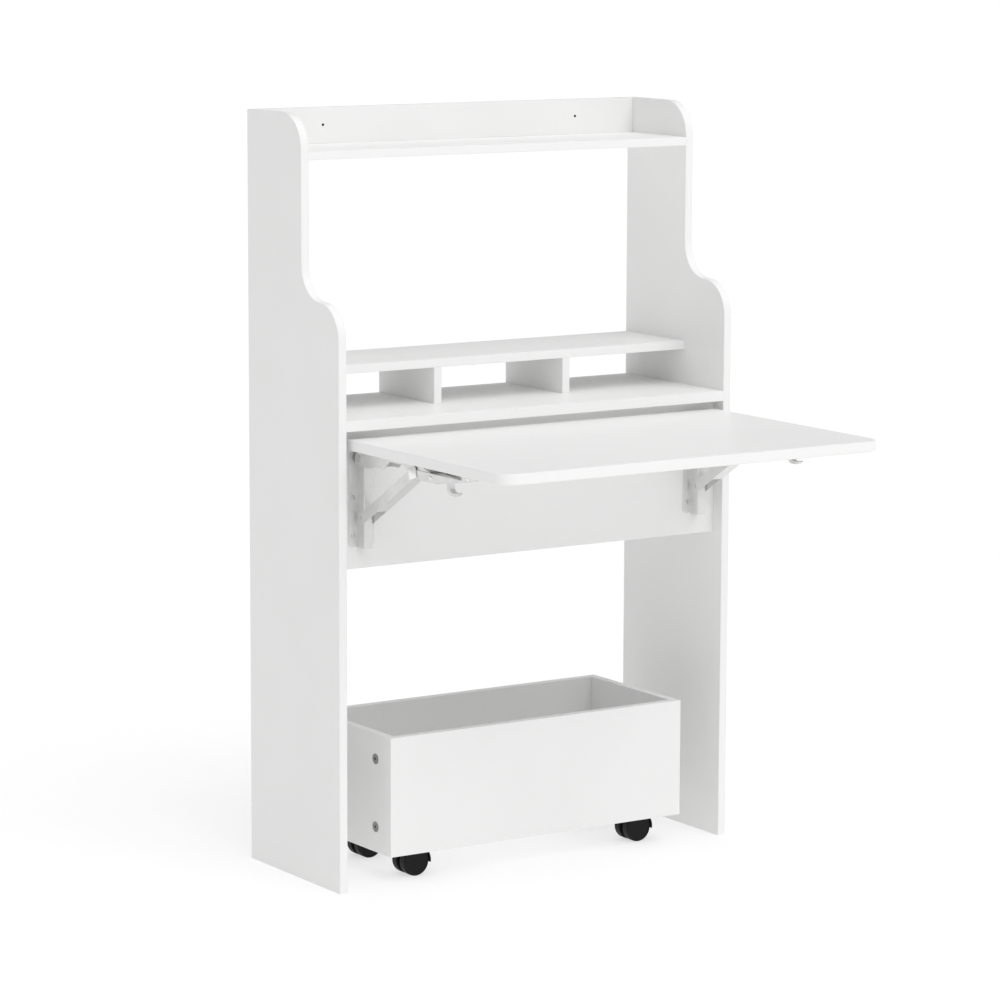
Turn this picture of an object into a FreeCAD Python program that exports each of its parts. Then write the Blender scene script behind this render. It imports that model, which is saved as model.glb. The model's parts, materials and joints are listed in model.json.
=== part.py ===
import FreeCAD, Part
import math
import os
from FreeCAD import Vector

# A secretary desk: two shaped side panels, shelves and pigeonholes above, a table that folds
# down on two locking brackets, and a storage box on four casters between the sides.
# Frame: +X right, -Y towards the user, +Z up. The origin is on the floor, under the middle of
# the desk with its table open. Every size is in millimetres.

# ---- Overall sizes ------------------------------------------------------------------------
WIDTH = 800.0
HEIGHT = 1300.0
OPEN_DEPTH = 760.0            # wall to the front edge of the open table
SIDE_DEPTH = 300.0            # side panels below the S-curve
UPPER_DEPTH = 180.0           # side panels above it
BOARD = 15.0                  # side panels, upper shelves, dividers, box
THICK_BOARD = 18.0            # lower shelf and table top
BOARD_EDGE = 0.6              # rounding of the edge band
OVERCUT = 1.0                 # how far a cutting tool reaches past what it cuts

REAR = OPEN_DEPTH / 2
FRONT = REAR - SIDE_DEPTH
INNER = WIDTH / 2 - BOARD     # half of the clear width between the side panels

# ---- Side panel outline -------------------------------------------------------------------
CURVE_R = (SIDE_DEPTH - UPPER_DEPTH) / 2
CURVE_Z = 932.0               # where the S-curve leaves the straight lower front

# ---- Shelves ------------------------------------------------------------------------------
TOP_SHELF_Z = 1238.0          # upper faces
MIDDLE_SHELF_Z = 877.0
LOWER_SHELF_Z = 800.0
MIDDLE_DEPTH = 181.0
DIVIDER_X = 132.0
WALL_HOLE_X = 260.0
WALL_HOLE_Z = 1270.0
WALL_HOLE_R = 2.25

# ---- Bracket panel and table --------------------------------------------------------------
PANEL_FRONT = REAR - 274.0
PANEL_Z = 547.0               # lower edge
TABLE_WIDTH = 752.0
TABLE_DEPTH = 474.0
TABLE_Z = 750.0               # underside
TABLE_CORNER = 30.0
TABLE_EDGE = 1.5

# ---- Folding bracket ----------------------------------------------------------------------
# Its own plane is (s, t): s runs forward from the table's hinge axis, t runs up from it.
BRACKET_X = 342.0
HINGE_OUT = 16.0              # hinge axis in front of the bracket panel
HINGE_DROP = 16.0             # hinge axis below the table's underside
HINGE_Y = PANEL_FRONT - HINGE_OUT
HINGE_Z = TABLE_Z - HINGE_DROP
BRACE_DROP = 101.0            # the brace's lower pivot below the hinge axis
SLIDER_S = 178.0              # the slider's pin, table open
SLOT_T = 8.0                  # height of the slider's track above the hinge axis
SLIDER_FOLDED_S = 308.0       # the slider's pin, table folded
SHEET = 2.0                   # steel of the wall plate and arm
THIN_SHEET = 1.6              # steel of the brace
PIN_CLEARANCE = 0.05

ARM_OUTER = 15.0              # half widths, nested from the arm inwards
ARM_INNER = 13.4
SLIDER_OUTER = 13.0
SLIDER_INNER = 11.5
BRACE_OUTER = 11.0
BRACE_INNER = BRACE_OUTER - THIN_SHEET
HAT_OUTER = 8.8
LEVER_HALF = 8.0

RIVET_GAP = 0.2
HINGE_PIN_R = 4.0
BUSH_R = 6.0                  # spacer between the hat and the arm
HINGE_HEAD = 2.0              # rivet head's outer face from the wall it holds
HINGE_HEAD_R = 7.0
BRACE_PIN_R = 3.0
PIVOT_HEAD = 1.4
PIVOT_HEAD_R = 5.0
LEVER_PIN_R = 2.0
LEVER_PIN = (206.0, -2.0)     # (s, t)
LEVER_HUB_R = 6.0
PAD_HALF = 5.0                # half width of the lever's stem and finger pad
PAD_EDGE = 0.6                # rounding of the finger pad

PLATE_HALF = 24.0
PLATE_Z0 = 584.0
PLATE_Z1 = 742.0
PLATE_CORNER = 7.0
HAT_DEPTH = 25.0
HAT_FOLD_R = 2.5
RIB_HALF = 1.8                # stiffening ribs between the plate's screws
RIB_RISE = 0.8
RIB_CLEAR = 9.0
PLATE_SCREW = 11.0
PLATE_SCREW_X = 16.5
PLATE_SCREW_Z = (604.0, 668.0, 732.0)
ARM_LENGTH = 360.0
ARM_EAR_R = 11.0
ARM_BACK = 4.0                # arm and table behind the hinge axis
SLOT_HALF = 3.5
SLOT_SPARE = 8.0              # slot beyond the slider's folded place
ARM_SCREW = 12.0
ARM_SCREW_S = (28.0, 76.0, 140.0, 225.0, 345.0)
BRACE_EAR_R = 9.5
BRACE_HEAD_R = 8.0
BRACE_LOW = -11.0             # brace's web below the line between its pivots
BRACE_HIGH = 7.0              # and its cheeks above it
BRACE_WEB_START = 54.0        # from the lower pivot, clear of the wall plate
BRACE_WEB_SHORT = 18.0        # short of the slider's pin
SLIDER_WEB = 1.5
SPRING_WIRE_R = 0.75
SPRING_R = 3.2
SPRING_TURNS = 6
SPRING_ROOM_R = 4.9           # round pocket in the lever's hub
SPRING_ROOM_HALF = 5.3

# ---- Storage box --------------------------------------------------------------------------
BOX_WIDTH = 600.0
BOX_DEPTH = 271.0
BOX_Z0 = 50.0
BOX_HEIGHT = 206.0
BOX_FLOOR_Z = 62.0            # underside of the raised bottom
BOX_CAM_SPREAD = 59.0         # cams above and below the panel's middle
BOX_FLOOR_CAM_X = 120.0
BOX_FLOOR_DOWEL_X = 180.0
BOX_SIDE_DOWEL_INSET = 100.0
BOX_REAR = FRONT + BOX_DEPTH

# ---- Casters ------------------------------------------------------------------------------
WHEEL_R = 25.0
WHEEL_IN = 4.5                # distance of each wheel's faces from the caster's middle
WHEEL_OUT = 20.0
CASTER_X = 232.0
CASTER_INSET = 60.0           # stem behind the box's front, and before its back
TRAIL = 8.0
AXLE_R = 3.0
HOOD_R = 29.0
HOOD_WALL = 2.2
HOOD_HALF = 20.5
HOOD_ANGLES = (-8.0, 132.0)   # the mudguard's ends, up from level on the trailing side
FORK_GAP = 1.0                # between the fork and each wheel
FORK_HUB_R = 8.0
BOSS_R = 12.0
SWIVEL_GAP = 0.3
STEM_R = 5.0
TYRE_EDGE = 2.0
DISH = 0.8                    # depth of the wheel's dished face
DISH_R = (20.4, 21.6)         # its radius at the bottom and at the face
WHEEL_HUB_R = 5.5
WHEEL_HUB_IN = 0.6            # hub and axle ends inside the wheel's faces
CASTER_PLATE = 42.0
CASTER_PLATE_THICK = 2.5
CASTER_PLATE_CORNER = 5.0
CASTER_SCREW = 12.0
CASTER_SCREW_INSET = 6.0

# ---- Fittings -----------------------------------------------------------------------------
CAM_REACH = 34.0              # cam nut's axis from the end of its board
CAM_R = 7.5
CAM_RIM_R = 9.0
CAM_RIM = 0.8
CAM_PAST_BOLT = 5.0           # depth of the cam nut beyond its bolt's axis
CAM_RECESS = (6.0, 1.8, 2.5)  # length, width and depth of the cross
CAM_BOLT_R = 3.0
CAM_BOLT_IN = 10.0            # thread in the other board
CAM_HEAD_R = 3.8
CAM_HEAD = (4.5, 2.0)         # from and to, short of the cam nut's axis
CAM_BOLT_ROOM = 1.0           # gap round the bolt inside the cam nut
DOWEL_R = 4.0
DOWEL_IN = 10.0
DOWEL_OUT = 20.0
JOINT_INSET = 40.0            # fittings of a shelf from its front and back edges
RAIL_JOINT_INSET = 19.0       # fittings of the rail from its long edges
PANEL_JOINT_INSET = 27.0      # fittings of the bracket panel from its long edges
DIVIDER_SCREW = 40.0
SCREW_HEAD_R = 4.0
SCREW_HEAD = 2.0
SCREW_HEAD_ROUNDING = 1.2
SCREW_R = 1.9
SCREW_TIP = 2.85
SCREW_TIP_R = 0.3
SCREW_RECESS = (4.2, 1.0, 1.2)        # length, width and depth of the cross

X_AXIS = Vector(1, 0, 0)
Y_AXIS = Vector(0, 1, 0)
Z_AXIS = Vector(0, 0, 1)


# ---- Shapes -------------------------------------------------------------------------------
def block(x0, x1, y0, y1, z0, z1):
    return Part.makeBox(x1 - x0, y1 - y0, z1 - z0, Vector(x0, y0, z0))


def board(x0, x1, y0, y1, z0, z1, edge=BOARD_EDGE):
    """A coated board with its edges eased."""
    solid = block(x0, x1, y0, y1, z0, z1)
    return solid.makeFillet(edge, solid.Edges)


def rod(radius, start, end):
    along = end - start
    return Part.makeCylinder(radius, along.Length, start, along)


def face_of(edges):
    return Part.Face(Part.Wire(Part.__sortEdges__(edges)))


def polygon_face(points):
    return Part.Face(Part.makePolygon(points + [points[0]]))


def fuse(solids):
    """Join solids into one clean solid."""
    joined = solids[0].multiFuse(solids[1:]) if len(solids) > 1 else solids[0]
    return joined.removeSplitter()


def edges_along(solid, axis):
    """The straight edges that run along one of the frame's axes."""
    return [edge for edge in solid.Edges
            if abs(edge.tangentAt(edge.FirstParameter).dot(axis)) > 0.9]


def screw(head_at, direction, length):
    """A pan-head screw: its head stands on head_at and its shank runs along direction."""
    head_top = head_at - direction * SCREW_HEAD
    head = rod(SCREW_HEAD_R, head_at, head_top)
    rims = [edge for edge in head.Edges if edge.isClosed()]
    top_rim = min(rims, key=lambda edge: edge.CenterOfMass.distanceToPoint(head_top))
    head = head.makeFillet(SCREW_HEAD_ROUNDING, [top_rim])
    shank_end = head_at + direction * length
    shank = rod(SCREW_R, head_at, shank_end)
    tip = Part.makeCone(SCREW_R, SCREW_TIP_R, SCREW_TIP, shank_end, direction)
    return fuse([head, shank, tip]).cut(cross_recess(head_top, direction, SCREW_RECESS))


def cross_recess(at, direction, size):
    """Two crossed slots of (length, width, depth) cut inwards from a head's face."""
    length, width, depth = size
    side = X_AXIS if abs(direction.x) < 0.5 else Y_AXIS
    other = direction.cross(side)
    slots = []
    for (long_way, short_way) in ((side, other), (other, side)):
        corner = at - long_way * (length / 2) - short_way * (width / 2)
        outline = [corner,
                   corner + long_way * length,
                   corner + long_way * length + short_way * width,
                   corner + short_way * width]
        slots.append(polygon_face(outline).extrude(direction * depth))
    return slots[0].fuse(slots[1])


# ---- Board joints -------------------------------------------------------------------------
class Fittings:
    """The cam bolts, cam nuts and dowels of one carcass."""

    def __init__(self, rim):
        self.rim = rim                # how far a cam nut's rim stands out of its board
        self.bolts = []
        self.nuts = []
        self.seats = []
        self.dowels = []

    def cam(self, at, into, face_normal, face_distance):
        """A bolt from the other board at a joint, held by a cam nut that is let into a face."""
        centre = at + into * CAM_REACH
        head_start, head_end = (centre - into * short for short in CAM_HEAD)
        bolt = fuse([rod(CAM_BOLT_R, at - into * CAM_BOLT_IN, head_end),
                     rod(CAM_HEAD_R, head_start, head_end)])
        face = centre + face_normal * face_distance
        body = rod(CAM_R, centre - face_normal * CAM_PAST_BOLT, face)
        nut = body
        if self.rim:
            rim = rod(CAM_RIM_R, face, face + face_normal * self.rim)
            nut = body.fuse(rim).removeSplitter()
        nut = nut.cut(rod(CAM_BOLT_R + CAM_BOLT_ROOM, at, centre))
        nut = nut.cut(cross_recess(face + face_normal * self.rim, face_normal * -1, CAM_RECESS))
        self.bolts.append(bolt)
        self.nuts.append(nut)
        self.seats.append(body)

    def dowel(self, at, into):
        self.dowels.append(rod(DOWEL_R, at - into * DOWEL_IN, at + into * DOWEL_OUT))

    def cutters(self):
        return self.bolts + self.seats + self.dowels


def drilled(solid, cutters):
    return solid.cut(Part.makeCompound(cutters))


# ---- Frame --------------------------------------------------------------------------------
def side_panel(x0):
    """The side panel's outline in the YZ plane, swept through its thickness."""
    upper_front = REAR - UPPER_DEPTH
    middle = FRONT + CURVE_R
    diagonal = CURVE_R * math.sqrt(0.5)
    inflection_z = CURVE_Z + CURVE_R
    top_curve_z = inflection_z + CURVE_R

    def at(y, z):
        return Vector(x0, y, z)

    convex_low = Part.Arc(at(FRONT, CURVE_Z),
                          at(middle - diagonal, CURVE_Z + diagonal),
                          at(middle, inflection_z))
    concave = Part.Arc(at(middle, inflection_z),
                       at(middle + diagonal, top_curve_z - diagonal),
                       at(upper_front, top_curve_z))
    corner_y = upper_front + CURVE_R
    corner_z = HEIGHT - CURVE_R
    corner = Part.Arc(at(upper_front, corner_z),
                      at(corner_y - diagonal, corner_z + diagonal),
                      at(corner_y, HEIGHT))
    edges = [Part.LineSegment(at(REAR, 0), at(FRONT, 0)),
             Part.LineSegment(at(FRONT, 0), at(FRONT, CURVE_Z)),
             convex_low,
             concave,
             Part.LineSegment(at(upper_front, top_curve_z), at(upper_front, corner_z)),
             corner,
             Part.LineSegment(at(corner_y, HEIGHT), at(REAR, HEIGHT)),
             Part.LineSegment(at(REAR, HEIGHT), at(REAR, 0))]
    solid = face_of([edge.toShape() for edge in edges]).extrude(X_AXIS * BOARD)
    return solid.makeFillet(BOARD_EDGE, solid.Edges)


def frame_fittings():
    """Cams and dowels at both ends of every board that runs between the side panels."""
    fittings = Fittings(rim=0)
    down = Z_AXIS * -1
    for side in (-1, 1):
        into = X_AXIS * -side
        end = side * INNER

        def cam(y, z, normal, distance):
            fittings.cam(Vector(end, y, z), into, normal, distance)

        def dowel(y, z):
            fittings.dowel(Vector(end, y, z), into)

        for (top, thick, depth) in ((TOP_SHELF_Z, BOARD, UPPER_DEPTH),
                                    (MIDDLE_SHELF_Z, BOARD, MIDDLE_DEPTH),
                                    (LOWER_SHELF_Z, THICK_BOARD, SIDE_DEPTH)):
            middle_z = top - thick / 2
            cam(REAR - JOINT_INSET, middle_z, down, thick / 2)
            cam(REAR - depth + JOINT_INSET, middle_z, down, thick / 2)
            dowel(REAR - depth / 2, middle_z)
        rail_y = REAR - BOARD / 2
        cam(rail_y, TOP_SHELF_Z + RAIL_JOINT_INSET, Y_AXIS, BOARD / 2)
        dowel(rail_y, HEIGHT - RAIL_JOINT_INSET)
        panel_y = PANEL_FRONT + BOARD / 2
        panel_top = LOWER_SHELF_Z - THICK_BOARD
        cam(panel_y, PANEL_Z + PANEL_JOINT_INSET, Y_AXIS, BOARD / 2)
        cam(panel_y, panel_top - PANEL_JOINT_INSET, Y_AXIS, BOARD / 2)
        dowel(panel_y, (PANEL_Z + panel_top) / 2)
    return fittings


def divider_fixings():
    """Dowels up into the middle shelf and screws up through the lower shelf."""
    dowels = []
    screws = []
    top = MIDDLE_SHELF_Z - BOARD
    for x in (-DIVIDER_X, DIVIDER_X):
        for back in (JOINT_INSET, MIDDLE_DEPTH - JOINT_INSET):
            y = REAR - back
            dowels.append(rod(DOWEL_R, Vector(x, y, top - DOWEL_OUT), Vector(x, y, top + DOWEL_IN)))
            head_at = Vector(x, y, LOWER_SHELF_Z - THICK_BOARD)
            screws.append(screw(head_at, Z_AXIS, DIVIDER_SCREW))
    return dowels, screws


def frame_boards(cutters):
    under_lower = LOWER_SHELF_Z - THICK_BOARD
    under_middle = MIDDLE_SHELF_Z - BOARD
    boards = {
        "side_panel_left": side_panel(-WIDTH / 2),
        "side_panel_right": side_panel(INNER),
        "top_shelf": board(-INNER, INNER, REAR - UPPER_DEPTH, REAR, TOP_SHELF_Z - BOARD, TOP_SHELF_Z),
        "middle_shelf": board(-INNER, INNER, REAR - MIDDLE_DEPTH, REAR, under_middle, MIDDLE_SHELF_Z),
        "lower_shelf": board(-INNER, INNER, FRONT, REAR, under_lower, LOWER_SHELF_Z),
        "bracket_panel": board(-INNER, INNER, PANEL_FRONT, PANEL_FRONT + BOARD, PANEL_Z, under_lower),
    }
    rail = board(-INNER, INNER, REAR - BOARD, REAR, TOP_SHELF_Z, HEIGHT)
    for x in (-WALL_HOLE_X, WALL_HOLE_X):
        rail = rail.cut(rod(WALL_HOLE_R, Vector(x, REAR - BOARD - OVERCUT, WALL_HOLE_Z),
                            Vector(x, REAR + OVERCUT, WALL_HOLE_Z)))
    boards["top_rail"] = rail
    for (name, x) in (("divider_left", -DIVIDER_X), ("divider_right", DIVIDER_X)):
        boards[name] = board(x - BOARD / 2, x + BOARD / 2, REAR - MIDDLE_DEPTH, REAR,
                             LOWER_SHELF_Z, under_middle)
    return {name: drilled(solid, cutters) for (name, solid) in boards.items()}


# ---- Folding brackets ---------------------------------------------------------------------
def bracket_point(centre_x, s, t, across=0.0):
    return Vector(centre_x + across, HINGE_Y - s, HINGE_Z + t)


def plate_from(centre_x, outline, x0, x1):
    """A sheet cut to an outline of (s, t) points and lying between x0 and x1."""
    points = [bracket_point(centre_x, s, t, x0) for (s, t) in outline]
    return polygon_face(points).extrude(X_AXIS * (x1 - x0))


def both_cheeks(centre_x, outline, inner, outer):
    return [plate_from(centre_x, outline, -outer, -inner), plate_from(centre_x, outline, inner, outer)]


def cross_rod(centre_x, s, t, radius, half):
    return rod(radius, bracket_point(centre_x, s, t, -half), bracket_point(centre_x, s, t, half))


def arc_points(centre, radius, start, end, count):
    """Points on an arc in (s, t), from one angle to another in degrees."""
    points = []
    for index in range(count + 1):
        angle = math.radians(start + (end - start) * index / count)
        points.append((centre[0] + radius * math.cos(angle), centre[1] + radius * math.sin(angle)))
    return points


def wall_plate(centre_x):
    """Two screwed flanges joined by a hat-shaped channel, one sheet of pressed steel."""
    y_back = PANEL_FRONT
    y_flange = y_back - SHEET
    y_hat = y_back - HAT_DEPTH
    flange = block(centre_x - PLATE_HALF, centre_x + PLATE_HALF, y_flange, y_back, PLATE_Z0, PLATE_Z1)
    flange = flange.makeFillet(PLATE_CORNER, edges_along(flange, Y_AXIS))
    hat = block(centre_x - HAT_OUTER, centre_x + HAT_OUTER, y_hat, y_back, PLATE_Z0, PLATE_Z1)
    folds = [edge for edge in edges_along(hat, Z_AXIS) if edge.CenterOfMass.y < y_flange]
    hat = hat.makeFillet(HAT_FOLD_R, folds)
    ribs = []
    for side in (-1, 1):
        x = centre_x + side * PLATE_SCREW_X
        for (low, high) in zip(PLATE_SCREW_Z[:-1], PLATE_SCREW_Z[1:]):
            ribs.append(block(x - RIB_HALF, x + RIB_HALF, y_flange - RIB_RISE, y_flange,
                              low + RIB_CLEAR, high - RIB_CLEAR))
    solid = fuse([flange, hat] + ribs)
    hollow = block(centre_x - HAT_OUTER + SHEET, centre_x + HAT_OUTER - SHEET,
                   y_hat + SHEET, y_back + OVERCUT, PLATE_Z0 - OVERCUT, PLATE_Z1 + OVERCUT)
    return solid.cut(hollow)


def plate_screws(centre_x):
    screws = []
    for side in (-1, 1):
        for z in PLATE_SCREW_Z:
            head_at = Vector(centre_x + side * PLATE_SCREW_X, PANEL_FRONT - SHEET, z)
            screws.append(screw(head_at, Y_AXIS, PLATE_SCREW))
    return screws


def shouldered_pin(centre_x, s, t, radius, steps):
    """A riveted pin, the same at both ends: steps of (start, end, radius) out from the middle."""
    middle = bracket_point(centre_x, s, t)
    parts = [rod(radius, middle - X_AXIS * steps[-1][0], middle + X_AXIS * steps[-1][0])]
    for (start, end, step_radius) in steps:
        for way in (X_AXIS, X_AXIS * -1):
            parts.append(rod(step_radius, middle + way * start, middle + way * end))
    return fuse(parts)


def hinge_pin(centre_x):
    bush = (HAT_OUTER, ARM_INNER - RIVET_GAP, BUSH_R)
    head = (ARM_OUTER + RIVET_GAP, ARM_OUTER + HINGE_HEAD, HINGE_HEAD_R)
    return shouldered_pin(centre_x, 0, 0, HINGE_PIN_R, [bush, head])


def brace_pivot_pin(centre_x):
    head = (BRACE_OUTER + RIVET_GAP, BRACE_OUTER + PIVOT_HEAD, PIVOT_HEAD_R)
    return shouldered_pin(centre_x, 0, -BRACE_DROP, BRACE_PIN_R, [head])


def arm(centre_x):
    """A channel under the table: its ears hold the hinge, its slots guide the slider."""
    top = HINGE_DROP
    ear = [(-ARM_BACK, top), (-ARM_BACK, top - 4)] + arc_points((0, 0), ARM_EAR_R, 115, 235, 8)
    gusset = [(12, -11), (27, -12), (60, -7), (82, -6)]
    notch = [(100, 8), (140, 8), (162, -1)]
    guide = [(190, -9), (246, -9)]
    nose = [(ARM_LENGTH - 8, 6), (ARM_LENGTH, 12), (ARM_LENGTH, top)]
    walls = both_cheeks(centre_x, ear + gusset + notch + guide + nose, ARM_INNER, ARM_OUTER)
    web = block(centre_x - ARM_OUTER, centre_x + ARM_OUTER,
                HINGE_Y - ARM_LENGTH, HINGE_Y + ARM_BACK, TABLE_Z - SHEET, TABLE_Z)
    cut_half = ARM_OUTER + OVERCUT
    slot_end = SLIDER_FOLDED_S + SLOT_SPARE
    slot = fuse([cross_rod(centre_x, SLIDER_S, SLOT_T, SLOT_HALF, cut_half),
                 cross_rod(centre_x, slot_end, SLOT_T, SLOT_HALF, cut_half),
                 block(centre_x - cut_half, centre_x + cut_half, HINGE_Y - slot_end, HINGE_Y - SLIDER_S,
                       HINGE_Z + SLOT_T - SLOT_HALF, HINGE_Z + SLOT_T + SLOT_HALF)])
    hinge_hole = cross_rod(centre_x, 0, 0, HINGE_PIN_R + PIN_CLEARANCE, cut_half)
    return fuse(walls + [web]).cut(slot).cut(hinge_hole)


def arm_screws(centre_x):
    screws = []
    for s in ARM_SCREW_S:
        screws.append(screw(bracket_point(centre_x, s, HINGE_DROP - SHEET), Z_AXIS, ARM_SCREW))
    return screws


def brace_frame():
    """The brace's length and the two directions of its own plane, as (s, t) pairs."""
    rise = SLOT_T + BRACE_DROP
    length = math.hypot(SLIDER_S, rise)
    along = (SLIDER_S / length, rise / length)
    up = (-along[1], along[0])
    return length, along, up


def brace_outline(profile):
    """Brace points (distance from the lower pivot, height off the pivot line) as (s, t)."""
    length, along, up = brace_frame()
    return [(a * along[0] + b * up[0], -BRACE_DROP + a * along[1] + b * up[1]) for (a, b) in profile]


def brace(centre_x):
    """A strut of pressed channel: its open side takes the wall plate's hat when folded."""
    length = brace_frame()[0]
    web_end = length - BRACE_WEB_SHORT
    profile = arc_points((0, 0), BRACE_EAR_R, 90, 220, 8) + [(-2, BRACE_LOW), (web_end, BRACE_LOW)]
    profile += arc_points((length, 0), BRACE_HEAD_R, -60, 0, 4) + arc_points((length, 0), 5.0, 20, 90, 5)
    profile += [(length - 56, BRACE_HIGH), (10, BRACE_HIGH)]
    cheeks = both_cheeks(centre_x, brace_outline(profile), BRACE_INNER, BRACE_OUTER)
    web_top = BRACE_LOW + THIN_SHEET
    web_profile = [(BRACE_WEB_START, BRACE_LOW), (web_end, BRACE_LOW),
                   (web_end, web_top), (BRACE_WEB_START, web_top)]
    web = plate_from(centre_x, brace_outline(web_profile), -BRACE_OUTER, BRACE_OUTER)
    cut_half = BRACE_OUTER + OVERCUT
    lower_hole = cross_rod(centre_x, 0, -BRACE_DROP, BRACE_PIN_R + PIN_CLEARANCE, cut_half)
    upper_hole = cross_rod(centre_x, SLIDER_S, SLOT_T, BRACE_PIN_R, cut_half)
    return fuse(cheeks + [web]).cut(lower_hole).cut(upper_hole)


def slider(centre_x):
    """A saddle inside the arm: two cheeks on the brace's pin, joined by a web below."""
    low = -11
    front = 242
    outline = [(152, -2), (157, low), (front, low), (front, -6), (222, 5), (194, 12), (166, 12), (152, 4)]
    cheeks = both_cheeks(centre_x, outline, SLIDER_INNER, SLIDER_OUTER)
    web_outline = [(188, low), (front, low), (front, low + SLIDER_WEB), (188, low + SLIDER_WEB)]
    web = plate_from(centre_x, web_outline, -SLIDER_OUTER, SLIDER_OUTER)
    cut_half = SLIDER_OUTER + OVERCUT
    brace_hole = cross_rod(centre_x, SLIDER_S, SLOT_T, BRACE_PIN_R + PIN_CLEARANCE, cut_half)
    lever_hole = cross_rod(centre_x, LEVER_PIN[0], LEVER_PIN[1], LEVER_PIN_R, cut_half)
    return fuse(cheeks + [web]).cut(brace_hole).cut(lever_hole)


def lever(centre_x):
    """A release lever: a bar from its hub, a stem down past the arm and a curved finger pad."""
    hub_s, hub_t = LEVER_PIN
    bar = [(hub_s, hub_t + LEVER_HUB_R), (270, 0), (270, -7), (hub_s, hub_t - LEVER_HUB_R)]
    stem = [(259, -5), (269, -5), (268, -16)]
    pad = [(272, -20.5), (281, -22.5), (290, -20), (292, -22), (283, -26.8), (268, -26.5), (260, -20)]
    solid = fuse([plate_from(centre_x, bar, -LEVER_HALF, LEVER_HALF),
                  plate_from(centre_x, stem + pad, -PAD_HALF, PAD_HALF),
                  cross_rod(centre_x, hub_s, hub_t, LEVER_HUB_R, LEVER_HALF)])
    pad_z = HINGE_Z - 18
    pad_edges = [edge for edge in edges_along(solid, X_AXIS) if edge.CenterOfMass.z < pad_z]
    solid = solid.makeFillet(PAD_EDGE, pad_edges)
    spring_room = cross_rod(centre_x, hub_s, hub_t, SPRING_ROOM_R, SPRING_ROOM_HALF)
    pin_hole = cross_rod(centre_x, hub_s, hub_t, LEVER_PIN_R + PIN_CLEARANCE, LEVER_HALF + OVERCUT)
    return solid.cut(spring_room).cut(pin_hole)


def lever_spring(centre_x):
    """A close-wound torsion spring round the lever's pin: its turns just touch."""
    pitch = SPRING_WIRE_R * 1.9
    solids = []
    for turn in range(SPRING_TURNS):
        across = pitch * (turn - (SPRING_TURNS - 1) / 2)
        centre = bracket_point(centre_x, LEVER_PIN[0], LEVER_PIN[1], across)
        solids.append(Part.makeTorus(SPRING_R, SPRING_WIRE_R, centre, X_AXIS))
    return fuse(solids)


# ---- Storage box --------------------------------------------------------------------------
def box_fittings():
    fittings = Fittings(rim=CAM_RIM)
    half = BOX_WIDTH / 2
    middle_z = BOX_Z0 + BOX_HEIGHT / 2
    floor_z = BOX_FLOOR_Z + BOARD / 2
    seams = ((FRONT + BOARD, Y_AXIS), (BOX_REAR - BOARD, Y_AXIS * -1))
    for (seam_y, into) in seams:
        for side in (-1, 1):
            x = side * (half - BOARD / 2)
            for z in (middle_z - BOX_CAM_SPREAD, middle_z + BOX_CAM_SPREAD):
                fittings.cam(Vector(x, seam_y, z), into, X_AXIS * side, BOARD / 2)
            fittings.dowel(Vector(x, seam_y, middle_z), into)
            fittings.cam(Vector(side * BOX_FLOOR_CAM_X, seam_y, floor_z), into, Z_AXIS * -1, BOARD / 2)
            fittings.dowel(Vector(side * BOX_FLOOR_DOWEL_X, seam_y, floor_z), into)
    for side in (-1, 1):
        for y in (FRONT + BOX_SIDE_DOWEL_INSET, BOX_REAR - BOX_SIDE_DOWEL_INSET):
            fittings.dowel(Vector(side * (half - BOARD), y, floor_z), X_AXIS * -side)
    return fittings


def box_boards(cutters):
    half = BOX_WIDTH / 2
    z0, z1 = BOX_Z0, BOX_Z0 + BOX_HEIGHT
    y_front = FRONT + BOARD
    y_back = BOX_REAR - BOARD
    boards = {
        "box_front": board(-half, half, FRONT, y_front, z0, z1),
        "box_back": board(-half, half, y_back, BOX_REAR, z0, z1),
        "box_side_left": board(-half, -half + BOARD, y_front, y_back, z0, z1),
        "box_side_right": board(half - BOARD, half, y_front, y_back, z0, z1),
        "box_bottom": board(-half + BOARD, half - BOARD, y_front, y_back, BOX_FLOOR_Z, BOX_FLOOR_Z + BOARD),
    }
    return {name: drilled(solid, cutters) for (name, solid) in boards.items()}


# ---- Casters ------------------------------------------------------------------------------
def caster_plate(at):
    half = CASTER_PLATE / 2
    z1 = BOX_FLOOR_Z
    solid = block(at.x - half, at.x + half, at.y - half, at.y + half, z1 - CASTER_PLATE_THICK, z1)
    solid = solid.makeFillet(CASTER_PLATE_CORNER, edges_along(solid, Z_AXIS))
    stem_top = Vector(at.x, at.y, z1 + OVERCUT)
    return solid.cut(rod(STEM_R + PIN_CLEARANCE, Vector(at.x, at.y, 0), stem_top))


def caster_screws(at):
    reach = CASTER_PLATE / 2 - CASTER_SCREW_INSET
    screws = []
    for dx in (-reach, reach):
        for dy in (-reach, reach):
            head_at = Vector(at.x + dx, at.y + dy, BOX_FLOOR_Z - CASTER_PLATE_THICK)
            screws.append(screw(head_at, Z_AXIS, CASTER_SCREW))
    return screws


def hood_sector(axle, start, end, outer, inner, half):
    """A piece of tube round the axle, between two angles above the horizontal."""
    def at(radius, angle):
        turn = math.radians(angle)
        return Vector(axle.x + radius * math.cos(turn), axle.y - half, axle.z + radius * math.sin(turn))

    middle = (start + end) / 2
    edges = [Part.Arc(at(outer, start), at(outer, middle), at(outer, end)).toShape(),
             Part.LineSegment(at(outer, end), at(inner, end)).toShape(),
             Part.Arc(at(inner, end), at(inner, middle), at(inner, start)).toShape(),
             Part.LineSegment(at(inner, start), at(outer, start)).toShape()]
    return face_of(edges).extrude(Y_AXIS * (2 * half))


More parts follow.
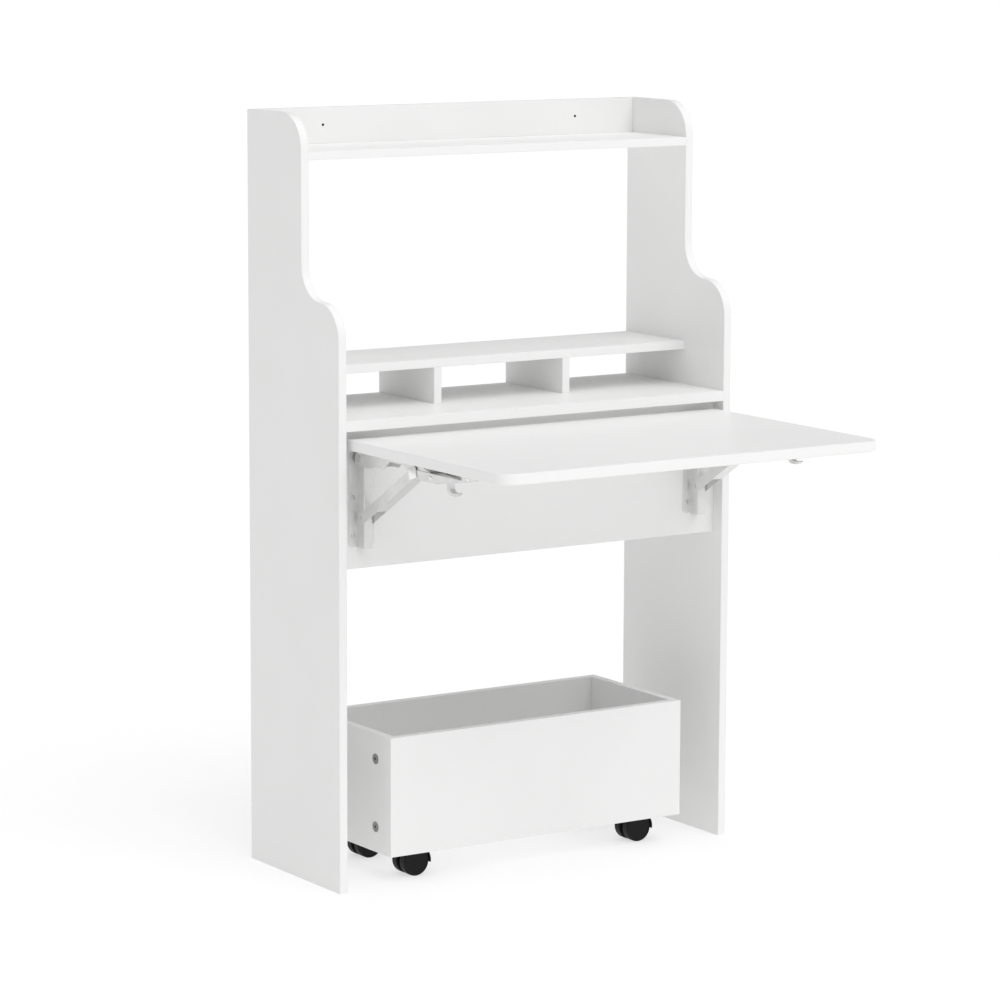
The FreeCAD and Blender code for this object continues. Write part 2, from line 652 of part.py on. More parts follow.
def caster_hood(at):
    """Fork, mudguard and stem in one moulding; it swivels in the plate."""
    axle = Vector(at.x + TRAIL, at.y, WHEEL_R)
    inside_r = HOOD_R - HOOD_WALL
    start, end = HOOD_ANGLES
    fork_half = WHEEL_IN - FORK_GAP
    guard = hood_sector(axle, start, end, HOOD_R, inside_r, HOOD_HALF)
    fork = hood_sector(axle, start, end, HOOD_R - HOOD_WALL / 2, STEM_R, fork_half)
    hub = rod(FORK_HUB_R, axle - Y_AXIS * fork_half, axle + Y_AXIS * fork_half)
    boss_top = BOX_FLOOR_Z - CASTER_PLATE_THICK - SWIVEL_GAP
    boss = rod(BOSS_R, Vector(at.x, at.y, axle.z + inside_r - HOOD_WALL), Vector(at.x, at.y, boss_top))
    boss = boss.cut(rod(inside_r, axle - Y_AXIS * HOOD_HALF, axle + Y_AXIS * HOOD_HALF))
    stem = rod(STEM_R, Vector(at.x, at.y, boss_top - OVERCUT), Vector(at.x, at.y, BOX_FLOOR_Z - SWIVEL_GAP))
    axle_hole = rod(AXLE_R + PIN_CLEARANCE, axle - Y_AXIS * WHEEL_IN, axle + Y_AXIS * WHEEL_IN)
    return fuse([guard, fork, hub, boss, stem]).cut(axle_hole)


def caster_wheels(at):
    """Two wheels with a soft rim and a dished face."""
    axle = Vector(at.x + TRAIL, at.y, WHEEL_R)
    wheels = []
    for side in (-1, 1):
        out = Y_AXIS * side
        tread = rod(WHEEL_R, axle + out * WHEEL_IN, axle + out * WHEEL_OUT)
        rims = [edge for edge in tread.Edges if edge.isClosed()]
        dish_bottom = axle + out * (WHEEL_OUT - DISH)
        dish = Part.makeCone(DISH_R[0], DISH_R[1], DISH, dish_bottom, out)
        hub = rod(WHEEL_HUB_R, dish_bottom - out * WHEEL_HUB_IN, axle + out * (WHEEL_OUT - WHEEL_HUB_IN))
        wheel = tread.makeFillet(TYRE_EDGE, rims).cut(dish).fuse(hub)
        wheels.append(wheel.cut(caster_axle(at)))
    return wheels


def caster_axle(at):
    axle = Vector(at.x + TRAIL, at.y, WHEEL_R)
    half = WHEEL_OUT - 2 * WHEEL_HUB_IN
    return rod(AXLE_R, axle - Y_AXIS * half, axle + Y_AXIS * half)


# ---- The whole desk -----------------------------------------------------------------------
def frame_nodes():
    fittings = frame_fittings()
    divider_dowels, divider_screws = divider_fixings()
    panel_screws = plate_screws(-BRACKET_X) + plate_screws(BRACKET_X)
    nodes = frame_boards(fittings.cutters() + divider_dowels + divider_screws + panel_screws)
    nodes["cam_bolts"] = Part.makeCompound(fittings.bolts)
    nodes["cam_nuts"] = Part.makeCompound(fittings.nuts)
    nodes["wood_dowels"] = Part.makeCompound(fittings.dowels + divider_dowels)
    nodes["divider_screws"] = Part.makeCompound(divider_screws)
    nodes["wall_plate_screws"] = Part.makeCompound(panel_screws)
    hinge_pins = [hinge_pin(-BRACKET_X), hinge_pin(BRACKET_X)]
    pivot_pins = [brace_pivot_pin(-BRACKET_X), brace_pivot_pin(BRACKET_X)]
    nodes["table_hinge_pins"] = Part.makeCompound(hinge_pins)
    nodes["brace_pivot_pins"] = Part.makeCompound(pivot_pins)
    for (name, x) in (("left", -BRACKET_X), ("right", BRACKET_X)):
        nodes["wall_plate_" + name] = drilled(wall_plate(x), hinge_pins + pivot_pins + panel_screws)
    return nodes


def table_top(cutters):
    half = TABLE_WIDTH / 2
    rear = HINGE_Y + ARM_BACK
    solid = block(-half, half, rear - TABLE_DEPTH, rear, TABLE_Z, TABLE_Z + THICK_BOARD)
    front_corners = [edge for edge in edges_along(solid, Z_AXIS) if edge.CenterOfMass.y < HINGE_Y]
    solid = solid.makeFillet(TABLE_CORNER, front_corners)
    solid = solid.makeFillet(TABLE_EDGE, solid.Edges)
    return drilled(solid, cutters)


def table_nodes():
    screws = arm_screws(-BRACKET_X) + arm_screws(BRACKET_X)
    nodes = {"table_top": table_top(screws),
             "bracket_arm_screws": Part.makeCompound(screws)}
    for (name, x) in (("left", -BRACKET_X), ("right", BRACKET_X)):
        nodes["bracket_arm_" + name] = drilled(arm(x), screws)
    return nodes


def linkage_nodes():
    nodes = {}
    pin_half = SLIDER_OUTER - 2 * PIN_CLEARANCE
    for (name, x) in (("left", -BRACKET_X), ("right", BRACKET_X)):
        nodes["brace_" + name] = brace(x)
        nodes["slider_pin_" + name] = cross_rod(x, SLIDER_S, SLOT_T, BRACE_PIN_R, pin_half)
        nodes["slider_" + name] = slider(x)
        nodes["lever_pin_" + name] = cross_rod(x, LEVER_PIN[0], LEVER_PIN[1], LEVER_PIN_R, pin_half)
        nodes["lever_spring_" + name] = lever_spring(x)
        nodes["release_lever_" + name] = lever(x)
    return nodes


def box_and_caster_nodes():
    fittings = box_fittings()
    stems = {}
    for (row, y) in (("front", FRONT + CASTER_INSET), ("back", BOX_REAR - CASTER_INSET)):
        for (side, x) in (("left", -CASTER_X), ("right", CASTER_X)):
            stems[row + "_" + side] = Vector(x, y, 0)
    screws = [one for at in stems.values() for one in caster_screws(at)]
    nodes = box_boards(fittings.cutters() + screws)
    nodes["box_cam_bolts"] = Part.makeCompound(fittings.bolts)
    nodes["box_cam_nuts"] = Part.makeCompound(fittings.nuts)
    nodes["box_dowels"] = Part.makeCompound(fittings.dowels)
    plates = [drilled(caster_plate(at), screws) for at in stems.values()]
    nodes["caster_plates"] = Part.makeCompound(plates)
    nodes["caster_screws"] = Part.makeCompound(screws)
    for (name, at) in stems.items():
        nodes["caster_hood_" + name] = caster_hood(at)
        nodes["caster_axle_" + name] = caster_axle(at)
        nodes["caster_wheels_" + name] = Part.makeCompound(caster_wheels(at))
    return nodes


def main():
    nodes = {}
    for group in (frame_nodes(), table_nodes(), linkage_nodes(), box_and_caster_nodes()):
        nodes.update(group)
    os.makedirs("parts", exist_ok=True)
    for (name, shape) in nodes.items():
        if not shape.isValid():
            print("not valid:", name)
        shape.exportStep("parts/" + name + ".step")
    whole = Part.makeCompound(list(nodes.values())).optimalBoundingBox(False, False)
    print(len(nodes), "nodes,", [round(size, 2) for size in (whole.XMin, whole.XMax, whole.YMin,
                                                             whole.YMax, whole.ZMin, whole.ZMax)])


main()
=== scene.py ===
import json
import math

import bmesh
import bpy
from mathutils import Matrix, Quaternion, Vector


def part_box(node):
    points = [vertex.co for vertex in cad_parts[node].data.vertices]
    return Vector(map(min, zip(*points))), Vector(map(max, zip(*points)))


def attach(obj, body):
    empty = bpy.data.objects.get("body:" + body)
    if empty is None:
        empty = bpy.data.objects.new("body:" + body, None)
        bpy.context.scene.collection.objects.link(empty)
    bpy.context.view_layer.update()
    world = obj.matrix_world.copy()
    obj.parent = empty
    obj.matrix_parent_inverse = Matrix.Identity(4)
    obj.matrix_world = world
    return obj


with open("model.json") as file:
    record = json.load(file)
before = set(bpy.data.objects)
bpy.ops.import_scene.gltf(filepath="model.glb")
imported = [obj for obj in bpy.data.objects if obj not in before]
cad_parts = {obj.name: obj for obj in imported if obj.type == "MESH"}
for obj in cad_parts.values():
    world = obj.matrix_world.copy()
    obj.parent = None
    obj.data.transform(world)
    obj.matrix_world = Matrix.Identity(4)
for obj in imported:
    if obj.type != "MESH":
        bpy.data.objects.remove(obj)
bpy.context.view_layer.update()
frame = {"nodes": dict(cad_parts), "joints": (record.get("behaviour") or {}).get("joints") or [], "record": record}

# A white secretary desk on a plain pale floor. Metres; +X right, -Y towards the user, +Z up.
NODES = frame["nodes"]
SIDES = ("left", "right")
CASTERS = ("front_left", "front_right", "back_left", "back_right")


# ---- Shader helpers -----------------------------------------------------------------------
class Shader:
    """A material's node tree, with short calls for the nodes that every surface here uses."""

    def __init__(self, name):
        self.material = bpy.data.materials.new(name)
        self.material.use_nodes = True
        self.tree = self.material.node_tree
        self.principled = self.tree.nodes["Principled BSDF"]
        self.place = self.node("ShaderNodeTexCoord").outputs["Object"]

    def node(self, kind, **settings):
        made = self.tree.nodes.new(kind)
        for (name, value) in settings.items():
            setattr(made, name, value)
        return made

    def link(self, source, target):
        self.tree.links.new(source, target)

    def fixed(self, **values):
        """Constants, set on the shader's own sockets."""
        for (name, value) in values.items():
            self.principled.inputs[name.replace("_", " ")].default_value = value

    def stretched(self, scale):
        mapping = self.node("ShaderNodeMapping")
        mapping.inputs["Scale"].default_value = scale
        self.link(self.place, mapping.inputs["Vector"])
        return mapping.outputs["Vector"]

    def noise(self, scale, detail=2.0, roughness=0.5, vector=None):
        made = self.node("ShaderNodeTexNoise")
        made.inputs["Scale"].default_value = scale
        made.inputs["Detail"].default_value = detail
        made.inputs["Roughness"].default_value = roughness
        self.link(vector or self.place, made.inputs["Vector"])
        return made.outputs["Fac"]

    def ramp(self, value, low, high, from_low=0.0, from_high=1.0):
        """Value, carried from its own range to the range low to high, and held at both ends."""
        made = self.node("ShaderNodeMapRange")
        made.inputs["From Min"].default_value = from_low
        made.inputs["From Max"].default_value = from_high
        made.inputs["To Min"].default_value = low
        made.inputs["To Max"].default_value = high
        self.link(value, made.inputs["Value"])
        return made.outputs["Result"]

    def math(self, operation, *values):
        """One step of arithmetic; each value is a number or a socket."""
        made = self.node("ShaderNodeMath", operation=operation)
        for (socket, value) in zip(made.inputs, values):
            if isinstance(value, (int, float)):
                socket.default_value = value
            else:
                self.link(value, socket)
        return made.outputs["Value"]

    def mix(self, amount, first, second):
        """Colour between first and second; each is a colour or a socket."""
        made = self.node("ShaderNodeMix", data_type="RGBA")
        self.link(amount, made.inputs[0])
        for (socket, value) in zip(made.inputs[6:8], (first, second)):
            if isinstance(value, tuple):
                socket.default_value = (*value, 1.0)
            else:
                self.link(value, socket)
        return made.outputs[2]

    def mix_value(self, amount, first, second):
        """Number between first and second, which are sockets."""
        made = self.node("ShaderNodeMix", data_type="FLOAT")
        self.link(amount, made.inputs[0])
        self.link(first, made.inputs[2])
        self.link(second, made.inputs[3])
        return made.outputs[0]

    def axes(self, source):
        made = self.node("ShaderNodeSeparateXYZ")
        self.link(source, made.inputs["Vector"])
        return made.outputs

    def bump(self, height, strength, distance):
        made = self.node("ShaderNodeBump")
        made.inputs["Strength"].default_value = strength
        made.inputs["Distance"].default_value = distance
        self.link(height, made.inputs["Height"])
        self.link(made.outputs["Normal"], self.principled.inputs["Normal"])

    def colour(self, socket):
        self.link(socket, self.principled.inputs["Base Color"])

    def roughness(self, socket):
        self.link(socket, self.principled.inputs["Roughness"])


# ---- Materials ----------------------------------------------------------------------------
FACE_WHITE = (0.915, 0.915, 0.911)
FACE_WHITE_DEEP = (0.898, 0.898, 0.894)
BAND_WHITE = (0.922, 0.922, 0.918)
GLUE_LINE = (0.52, 0.51, 0.48)
GLUE_DEPTH = 0.0011                     # the band's glue line, from the board's face
GLUE_HALF_WIDTH = 0.00013
GLUE_SHOWS = 0.30
CHIPBOARD = (0.42, 0.29, 0.17)
CHIPBOARD_DARK = (0.20, 0.12, 0.06)
CORE_MARGIN = 0.0002                    # past a drilled hole's radius
SATIN_LIGHT = (0.80, 0.80, 0.795)
SATIN_DARK = (0.74, 0.74, 0.735)
ZINC_LIGHT = (0.80, 0.80, 0.80)
ZINC_DARK = (0.62, 0.62, 0.62)
NICKEL_LIGHT = (0.95, 0.95, 0.94)
NICKEL_DARK = (0.86, 0.86, 0.85)
CAM_LIGHT = (0.40, 0.40, 0.40)
CAM_DARK = (0.28, 0.28, 0.28)
# painted shade: the near-black colour put where the screwdriver recess is in shadow
CAM_RECESS_PAINTED_SHADE = (0.03, 0.03, 0.03)
RECESS_SHADE_DEPTHS = (0.0004, 0.0012)        # where the painted shade in the recess starts, and is darkest
BEECH_LIGHT = (0.66, 0.45, 0.26)
BEECH_DARK = (0.58, 0.38, 0.21)
BEECH_FLECK = (0.36, 0.21, 0.11)
BLACK_LIGHT = (0.010, 0.010, 0.010)
BLACK_DARK = (0.004, 0.004, 0.004)
FLOOR_LIGHT = (0.46, 0.46, 0.46)
FLOOR_DARK = (0.44, 0.44, 0.44)


def wall_fixing_holes():
    """The middle and radius of each hole that the record's bolt pattern states."""
    mount = next(entry for entry in frame["record"]["mounts"] if entry["kind"] == "bolt_pattern")
    x, y, z = mount["pos_m"]
    half = mount["dims"]["spacing_x_mm"] / 2000.0
    radius = mount["dims"]["hole_r_mm"] / 1000.0
    return [(x - half, z, radius), (x + half, z, radius)]


def inside_holes(shader, holes):
    """1 on the walls of the drilled holes, where the board's core shows, and 0 elsewhere."""
    place = shader.axes(shader.place)
    inside = None
    for (x, z, radius) in holes:
        along = shader.math("POWER", shader.math("SUBTRACT", place[0], x), 2)
        height = shader.math("POWER", shader.math("SUBTRACT", place[2], z), 2)
        distance = shader.math("SQRT", shader.math("ADD", along, height))
        here = shader.math("LESS_THAN", distance, radius + CORE_MARGIN)
        inside = here if inside is None else shader.math("MAXIMUM", inside, here)
    return inside


def edge_and_glue(shader, low, high, thin):
    """1 on a board's edges and 0 on its faces, and the same for the band's glue line."""
    geometry = shader.node("ShaderNodeNewGeometry")
    flat = shader.math("ABSOLUTE", shader.axes(geometry.outputs["True Normal"])[thin])
    on_edge = shader.math("LESS_THAN", flat, 0.5)
    height = shader.axes(shader.place)[thin]
    from_low = shader.math("SUBTRACT", height, low[thin])
    from_high = shader.math("SUBTRACT", high[thin], height)
    from_face = shader.math("MINIMUM", from_low, from_high)
    line = shader.math("COMPARE", from_face, GLUE_DEPTH, GLUE_HALF_WIDTH)
    return on_edge, shader.math("MULTIPLY", line, on_edge)


def chipboard(shader):
    chips = shader.noise(700.0, detail=4.0, roughness=0.7)
    return shader.mix(shader.ramp(chips, 0.0, 1.0, 0.35, 0.65), CHIPBOARD, CHIPBOARD_DARK)


def board_material(node):
    """White melamine: a fine pearl-textured face, and a smoother edge band with its glue line."""
    shader = Shader("melamine_" + node)
    low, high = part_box(node)
    size = high - low
    thin = min(range(3), key=lambda axis: size[axis])
    on_edge, glue = edge_and_glue(shader, low, high, thin)

    cloud = shader.noise(7.0, detail=3.0)
    face = shader.mix(shader.ramp(cloud, 0.0, 1.0, 0.3, 0.7), FACE_WHITE, FACE_WHITE_DEEP)
    banded = shader.mix(on_edge, face, BAND_WHITE)
    white = shader.mix(shader.math("MULTIPLY", glue, GLUE_SHOWS), banded, GLUE_LINE)
    if node == "top_rail":
        white = shader.mix(inside_holes(shader, wall_fixing_holes()), white, chipboard(shader))
    shader.colour(white)

    grain = shader.noise(900.0, detail=3.0, roughness=0.6)
    face_rough = shader.ramp(grain, 0.34, 0.46)
    band_rough = shader.ramp(cloud, 0.26, 0.34)
    shader.roughness(shader.mix_value(on_edge, face_rough, band_rough))
    shader.bump(grain, 0.16, 0.0002)
    shader.fixed(Specular_IOR_Level=0.45)
    return shader.material


def pressed_steel_material():
    """Pressed sheet steel with a pale satin finish: faintly cloudy, over fine rolling lines."""
    shader = Shader("pressed_steel")
    rolled = shader.noise(1.0, detail=3.0, vector=shader.stretched((900.0, 60.0, 60.0)))
    cloud = shader.noise(45.0, detail=4.0, roughness=0.55)
    shader.colour(shader.mix(shader.ramp(cloud, 0.0, 1.0, 0.3, 0.7), SATIN_LIGHT, SATIN_DARK))
    satin = shader.ramp(cloud, 0.30, 0.40, 0.3, 0.7)
    shader.roughness(shader.math("ADD", satin, shader.ramp(rolled, -0.04, 0.04)))
    shader.bump(rolled, 0.15, 0.00015)
    shader.fixed(Metallic=0.50, Specular_IOR_Level=0.5)
    return shader.material


def zinc_material(name, light, dark, rough):
    """Plated metal: fine drawn lines with a cloudy tarnish, a little rougher than rough says."""
    shader = Shader(name)
    lines = shader.noise(1.0, detail=3.0, vector=shader.stretched((2600.0, 260.0, 2600.0)))
    cloud = shader.noise(160.0, detail=4.0, roughness=0.7)
    shader.colour(shader.mix(shader.ramp(cloud, 0.0, 1.0, 0.35, 0.7), light, dark))
    shader.roughness(shader.ramp(lines, rough, rough + 0.18))
    shader.bump(lines, 0.12, 0.0001)
    shader.fixed(Metallic=1.0)
    return shader.material


def cam_material(node, axis, faces):
    """Cast zinc, with painted shade in the screwdriver recess; faces are the planes its fittings are flush with.
    """
    shader = Shader("cast_zinc_" + node)
    place = shader.axes(shader.place)[axis]
    depth = None
    for face in faces:
        here = shader.math("ABSOLUTE", shader.math("SUBTRACT", place, face))
        depth = here if depth is None else shader.math("MINIMUM", depth, here)
    cloud = shader.noise(400.0, detail=4.0, roughness=0.7)
    cast = shader.mix(shader.ramp(cloud, 0.0, 1.0, 0.35, 0.7), CAM_LIGHT, CAM_DARK)
    # painted shade: the colour darkens with depth below the faces, where shade falls in the recess
    shader.colour(shader.mix(shader.ramp(depth, 0.0, 1.0, *RECESS_SHADE_DEPTHS), cast, CAM_RECESS_PAINTED_SHADE))
    shader.roughness(shader.ramp(cloud, 0.42, 0.60))
    shader.bump(cloud, 0.15, 0.0001)
    shader.fixed(Metallic=0.9)
    return shader.material


def beech_material():
    """Raw turned beech: pale, with short flecks along the dowel."""
    shader = Shader("beech")
    fleck = shader.noise(1.0, detail=4.0, vector=shader.stretched((120.0, 900.0, 900.0)))
    cloud = shader.noise(60.0, detail=2.0)
    pale = shader.mix(shader.ramp(cloud, 0.0, 1.0, 0.3, 0.7), BEECH_LIGHT, BEECH_DARK)
    shader.colour(shader.mix(shader.ramp(fleck, 0.0, 0.7, 0.55, 0.75), pale, BEECH_FLECK))
    shader.roughness(shader.ramp(fleck, 0.6, 0.8))
    shader.bump(fleck, 0.3, 0.0003)
    return shader.material


def moulded_material(name, rough):
    """Black moulded plastic with a spark-eroded texture and faint scuffs."""
    shader = Shader(name)
    spark = shader.noise(1500.0, detail=2.0)
    scuff = shader.noise(1.0, detail=5.0, roughness=0.7, vector=shader.stretched((90.0, 90.0, 420.0)))
    shader.colour(shader.mix(shader.ramp(scuff, 0.0, 1.0, 0.5, 0.8), BLACK_DARK, BLACK_LIGHT))
    shader.roughness(shader.ramp(scuff, *rough, 0.3, 0.75))
    shader.bump(spark, 0.25, 0.00025)
    shader.fixed(Specular_IOR_Level=0.22)
    return shader.material


def floor_material():
    """A light table: a plain white sheet, lit from below, with the faintest unevenness."""
    shader = Shader("pale_floor")
    cloud = shader.noise(1.3, detail=2.0)
    shader.colour(shader.mix(shader.ramp(cloud, 0.0, 1.0), FLOOR_DARK, FLOOR_LIGHT))
    shader.roughness(shader.ramp(cloud, 0.75, 0.85))
    shader.fixed(Specular_IOR_Level=0.1, Emission_Color=WHITE, Emission_Strength=FLOOR_GLOW)
    return shader.material


def make_cam_materials():
    """One for the fittings in the desk's back faces, and one for those in the box's sides."""
    backs = [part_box(board)[1].y for board in ("top_rail", "bracket_panel")]
    sides = [corner.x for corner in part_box("box_cam_nuts")]
    return {"cam_nuts": cam_material("cam_nuts", 1, backs),
            "box_cam_nuts": cam_material("box_cam_nuts", 0, sides)}


def dress_nodes():
    """Every CAD node gets the material of its slot; boards and cams get one made for the node."""
    cams = make_cam_materials()
    shared = {
        "bracket_steel": pressed_steel_material(),
        "fastener_steel": zinc_material("zinc_plate", ZINC_LIGHT, ZINC_DARK, 0.26),
        "dowel_wood": beech_material(),
        "caster_plastic": moulded_material("black_moulding", (0.42, 0.55)),
        "wheel_plastic": moulded_material("black_wheel", (0.44, 0.62)),
    }
    slots = {entry["node"]: entry["material_slot"] for entry in frame["record"]["subparts"]}
    for (name, thing) in NODES.items():
        slot = slots[name]
        if slot == "white_board":
            material = board_material(name)
        elif slot == "cam_zinc":
            material = cams[name]
        else:
            material = shared[slot]
        thing.data.materials.clear()
        thing.data.materials.append(material)
    return shared


# ---- Added pieces -------------------------------------------------------------------------
SHARP_ANGLE = 35.0                      # edges that turn more than this stay crisp, in degrees
MERGE_DISTANCE = 1e-7
GUIDE_HALF = (0.0115, 0.0095)           # along and across the slider's guide plate
GUIDE_THICK = 0.0014
GUIDE_BEHIND = 0.006                    # its middle behind and below the slider's pin
GUIDE_BELOW = 0.0095
GUIDE_TILT = 16.0                       # degrees
GUIDE_CORNER = 0.0018
GUIDE_EASE = 0.0004                     # the rounding of its outer rim
SIDE_GAP = 0.0004                       # between an added plate and the arm's wall
RIVETS = ((0.226, -0.0020), (0.338, 0.0095))    # in front of and above the table's hinge
# Profiles are points at a distance along the axis and a radius from it.
RIVET_PROFILE = ((0.0, 0.0036), (0.0006, 0.0036), (0.0013, 0.0029), (0.0017, 0.0016), (0.0018, 0.0))
RACE_DROP = 0.0016                      # the ball race's middle below the caster's plate
RACE_PROFILE = ((-0.0006, 0.0150), (0.0000, 0.0158), (0.0008, 0.0158), (0.0014, 0.0150),
                (0.0014, 0.0128), (-0.0006, 0.0128), (-0.0006, 0.0150))


def add_piece(name, mesh_code, material, body):
    """A smooth-shaded piece made by mesh_code, which moves with a body."""
    made = bmesh.new()
    mesh_code(made)
    bmesh.ops.remove_doubles(made, verts=made.verts, dist=MERGE_DISTANCE)
    bmesh.ops.recalc_face_normals(made, faces=made.faces)
    data = bpy.data.meshes.new(name)
    made.to_mesh(data)
    made.free()
    data.shade_smooth()
    data.set_sharp_from_angle(angle=math.radians(SHARP_ANGLE))
    data.materials.append(material)
    piece = bpy.data.objects.new(name, data)
    bpy.context.scene.collection.objects.link(piece)
    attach(piece, body)


def lathe(made, profile, centre, direction, segments=32):
    """Turns a profile round the line through centre; one that ends on the axis is closed behind."""
    turn = direction.to_track_quat("Z", "Y")
    rings = []
    for (along, radius) in profile:
        ring = []
        for index in range(segments if radius else 1):
            angle = 2 * math.pi * index / segments
            local = Vector((radius * math.cos(angle), radius * math.sin(angle), along))
            ring.append(made.verts.new(centre + turn @ local))
        rings.append(ring)
    for (first, second) in zip(rings[:-1], rings[1:]):
        for index in range(segments):
            following = (index + 1) % segments
            if len(second) == 1:
                made.faces.new((first[index], first[following], second[0]))
            else:
                made.faces.new((first[index], first[following], second[following], second[index]))
    if len(rings[-1]) == 1:
        made.faces.new(rings[0])


def rounded_rectangle(half_long, half_high, corner, steps=5):
    """Corner-rounded outline points about (0, 0), anticlockwise."""
    points = []
    for (quarter, sign_x, sign_z) in ((0, 1, 1), (1, -1, 1), (2, -1, -1), (3, 1, -1)):
        for step in range(steps + 1):
            angle = math.radians(90 * quarter + 90 * step / steps)
            points.append((sign_x * (half_long - corner) + corner * math.cos(angle),
                           sign_z * (half_high - corner) + corner * math.sin(angle)))
    return points


def guide_plate(made, inner_x, outward, middle):
    """A small plate outside the arm's wall, tilted with the slider and eased round its edge."""
    tilt = math.radians(GUIDE_TILT)
    bottom = []
    for (along, across) in rounded_rectangle(*GUIDE_HALF, GUIDE_CORNER):
        forward = along * math.cos(tilt) - across * math.sin(tilt)
        rise = along * math.sin(tilt) + across * math.cos(tilt)
        bottom.append(made.verts.new((inner_x, middle.y - forward, middle.z + rise)))
    base = made.faces.new(bottom)
    raised = bmesh.ops.extrude_face_region(made, geom=[base])
    corners = [item for item in raised["geom"] if isinstance(item, bmesh.types.BMVert)]
    bmesh.ops.translate(made, verts=corners, vec=(outward * GUIDE_THICK, 0, 0))
    outer_x = inner_x + outward * GUIDE_THICK
    rim = [edge for edge in made.edges
           if all(abs(corner.co.x - outer_x) < GUIDE_THICK / 2 for corner in edge.verts)]
    bmesh.ops.bevel(made, geom=rim, offset=GUIDE_EASE, segments=2, profile=0.5, affect="EDGES")


def box_middle(node):
    """The middle of a node's box."""
    low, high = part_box(node)
    return (low + high) / 2


def dress_bracket(side, shared):
    """The slider's guide plates, and the rivets in the arm's walls."""
    arm_low, arm_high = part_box("bracket_arm_" + side)
    pin = box_middle("slider_pin_" + side)
    hinge = box_middle("table_hinge_pins")
    for (face, outward, wall_x) in (("outer", -1, arm_low.x), ("inner", 1, arm_high.x)):
        middle = Vector((wall_x, pin.y + GUIDE_BEHIND, pin.z - GUIDE_BELOW))
        inner_x = wall_x + outward * SIDE_GAP

        def plate(made):
            guide_plate(made, inner_x, outward, middle)

        add_piece(f"slider_guide_{side}_{face}", plate, shared["bright_steel"],
                  "slider_" + side)
        for (number, (forward, rise)) in enumerate(RIVETS, start=1):
            centre = Vector((wall_x, hinge.y - forward, hinge.z + rise))

            def rivet(made):
                lathe(made, RIVET_PROFILE, centre, Vector((outward, 0, 0)))

            add_piece(f"arm_rivet_{side}_{face}_{number}", rivet, shared["bright_steel"],
                      "table")


def dress_caster(place, shared):
    """The ball race between a caster's plate and its hood."""
    plates_low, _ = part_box("caster_plates")
    swivel = next(joint for joint in frame["joints"] if joint["name"] == f"caster_{place}_swivel")
    x, y, _ = swivel["pos_m"]
    centre = Vector((x, y, plates_low.z - RACE_DROP))

    def race(made):
        lathe(made, RACE_PROFILE, centre, Vector((0, 0, 1)), segments=40)

    add_piece("caster_race_" + place, race, shared["fastener_steel"], "caster_" + place)


def add_details(shared):
    """Pieces too small for the CAD, in the materials that the nodes share."""
    shared["bright_steel"] = zinc_material("bright_nickel", NICKEL_LIGHT, NICKEL_DARK, 0.20)
    for side in SIDES:
        dress_bracket(side, shared)
    for place in CASTERS:
        dress_caster(place, shared)


# ---- Stage --------------------------------------------------------------------------------
WHITE = (1.0, 1.0, 1.0, 1.0)
SURROUND = 0.47
BACKDROP = 1.0
FLOOR_SIZE = 240.0
FLOOR_GLOW = 0.59
SOFT_LIGHTS = {                         # strength, spread and direction
    "overhead": (0.70, 60.0, (0.0, 0.12, -0.99)),
    "front": (0.98, 50.0, (0.0, 0.65, -0.76)),
    "right": (0.15, 50.0, (-0.60, 0.60, -0.53)),
}
CAMERA_LENS = 142.9
CAMERA_AT = (-3.720, -5.494, 1.679)
CAMERA_TURN = (33.13, -8.835, 0.21)     # to the right, up and rolled, in degrees


def make_floor():
    """A plane that reaches well past the camera's view."""
    bpy.ops.mesh.primitive_plane_add(size=FLOOR_SIZE, location=(0, 0, 0))
    floor = bpy.context.object
    floor.name = "floor"
    floor.data.materials.append(floor_material())


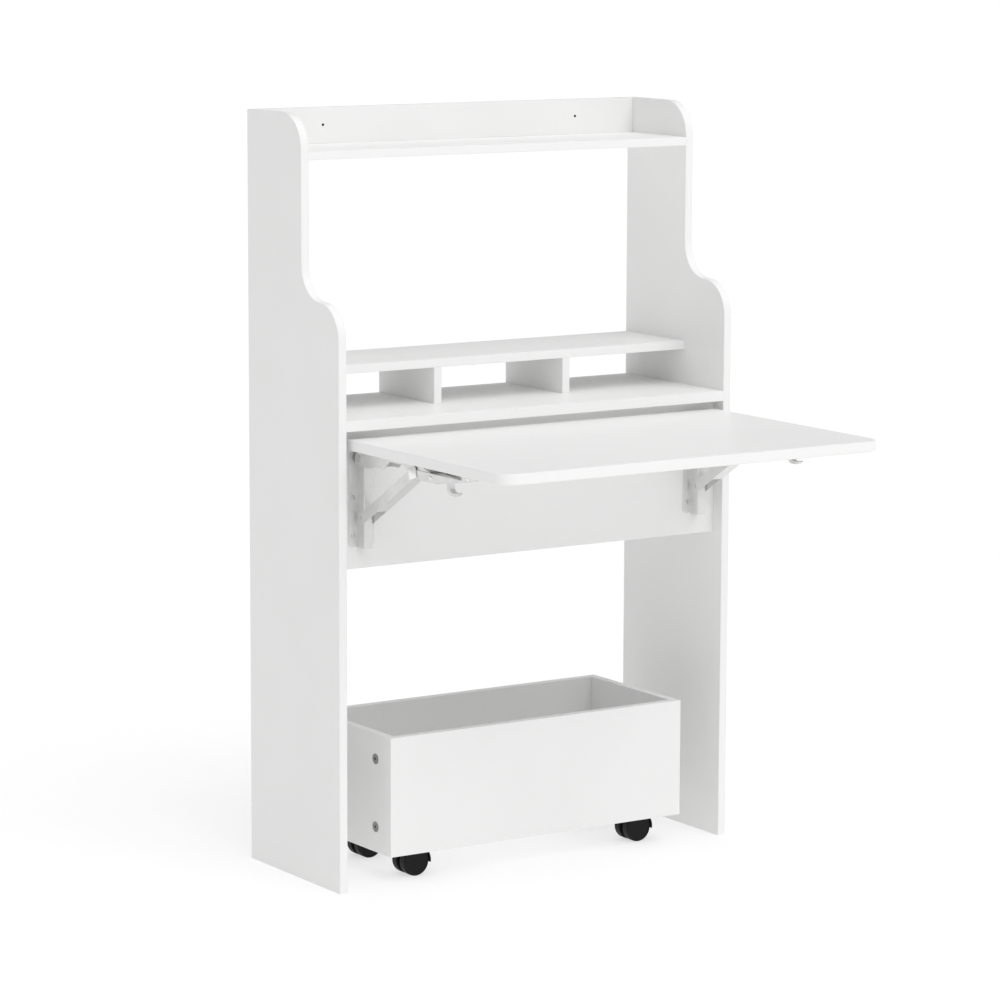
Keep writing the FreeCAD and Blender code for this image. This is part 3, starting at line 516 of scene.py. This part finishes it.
def make_world():
    """An even white surround, with a brighter white backdrop where the camera looks past the desk."""
    world = bpy.data.worlds.new("studio")
    bpy.context.scene.world = world
    world.use_nodes = True
    tree = world.node_tree
    surround = tree.nodes["Background"]
    surround.inputs["Color"].default_value = WHITE
    surround.inputs["Strength"].default_value = SURROUND
    backdrop = tree.nodes.new("ShaderNodeBackground")
    backdrop.inputs["Color"].default_value = WHITE
    backdrop.inputs["Strength"].default_value = BACKDROP
    ray = tree.nodes.new("ShaderNodeLightPath")
    chosen = tree.nodes.new("ShaderNodeMixShader")
    tree.links.new(ray.outputs["Is Camera Ray"], chosen.inputs[0])
    tree.links.new(surround.outputs[0], chosen.inputs[1])
    tree.links.new(backdrop.outputs[0], chosen.inputs[2])
    tree.links.new(chosen.outputs[0], tree.nodes["World Output"].inputs["Surface"])


def make_soft_light(name, strength, spread, direction):
    """A broad soft light from one side; its spread is the angle that it fills, in degrees."""
    data = bpy.data.lights.new(name, "SUN")
    data.energy = strength
    data.angle = math.radians(spread)
    lamp = bpy.data.objects.new(name, data)
    lamp.rotation_mode = "QUATERNION"
    lamp.rotation_quaternion = Vector(direction).to_track_quat("-Z", "Y")
    bpy.context.scene.collection.objects.link(lamp)


def make_camera():
    """Left of the desk and a little above it, looking slightly down."""
    data = bpy.data.cameras.new("camera")
    data.sensor_width = 36.0
    data.lens = CAMERA_LENS
    data.clip_end = 300.0
    camera = bpy.data.objects.new("camera", data)
    yaw, pitch, roll = (math.radians(angle) for angle in CAMERA_TURN)
    forward = Vector((math.sin(yaw) * math.cos(pitch), math.cos(yaw) * math.cos(pitch), math.sin(pitch)))
    camera.location = CAMERA_AT
    camera.rotation_mode = "QUATERNION"
    camera.rotation_quaternion = forward.to_track_quat("-Z", "Y") @ Quaternion((0, 0, 1), roll)
    bpy.context.scene.collection.objects.link(camera)
    bpy.context.scene.camera = camera


def make_stage():
    make_floor()
    make_world()
    for (name, settings) in SOFT_LIGHTS.items():
        make_soft_light("soft_" + name, *settings)
    make_camera()
    scene = bpy.context.scene
    scene.view_settings.view_transform = "Standard"
    scene.cycles.use_denoising = True


# ---- The scene ----------------------------------------------------------------------------
add_details(dress_nodes())
make_stage()
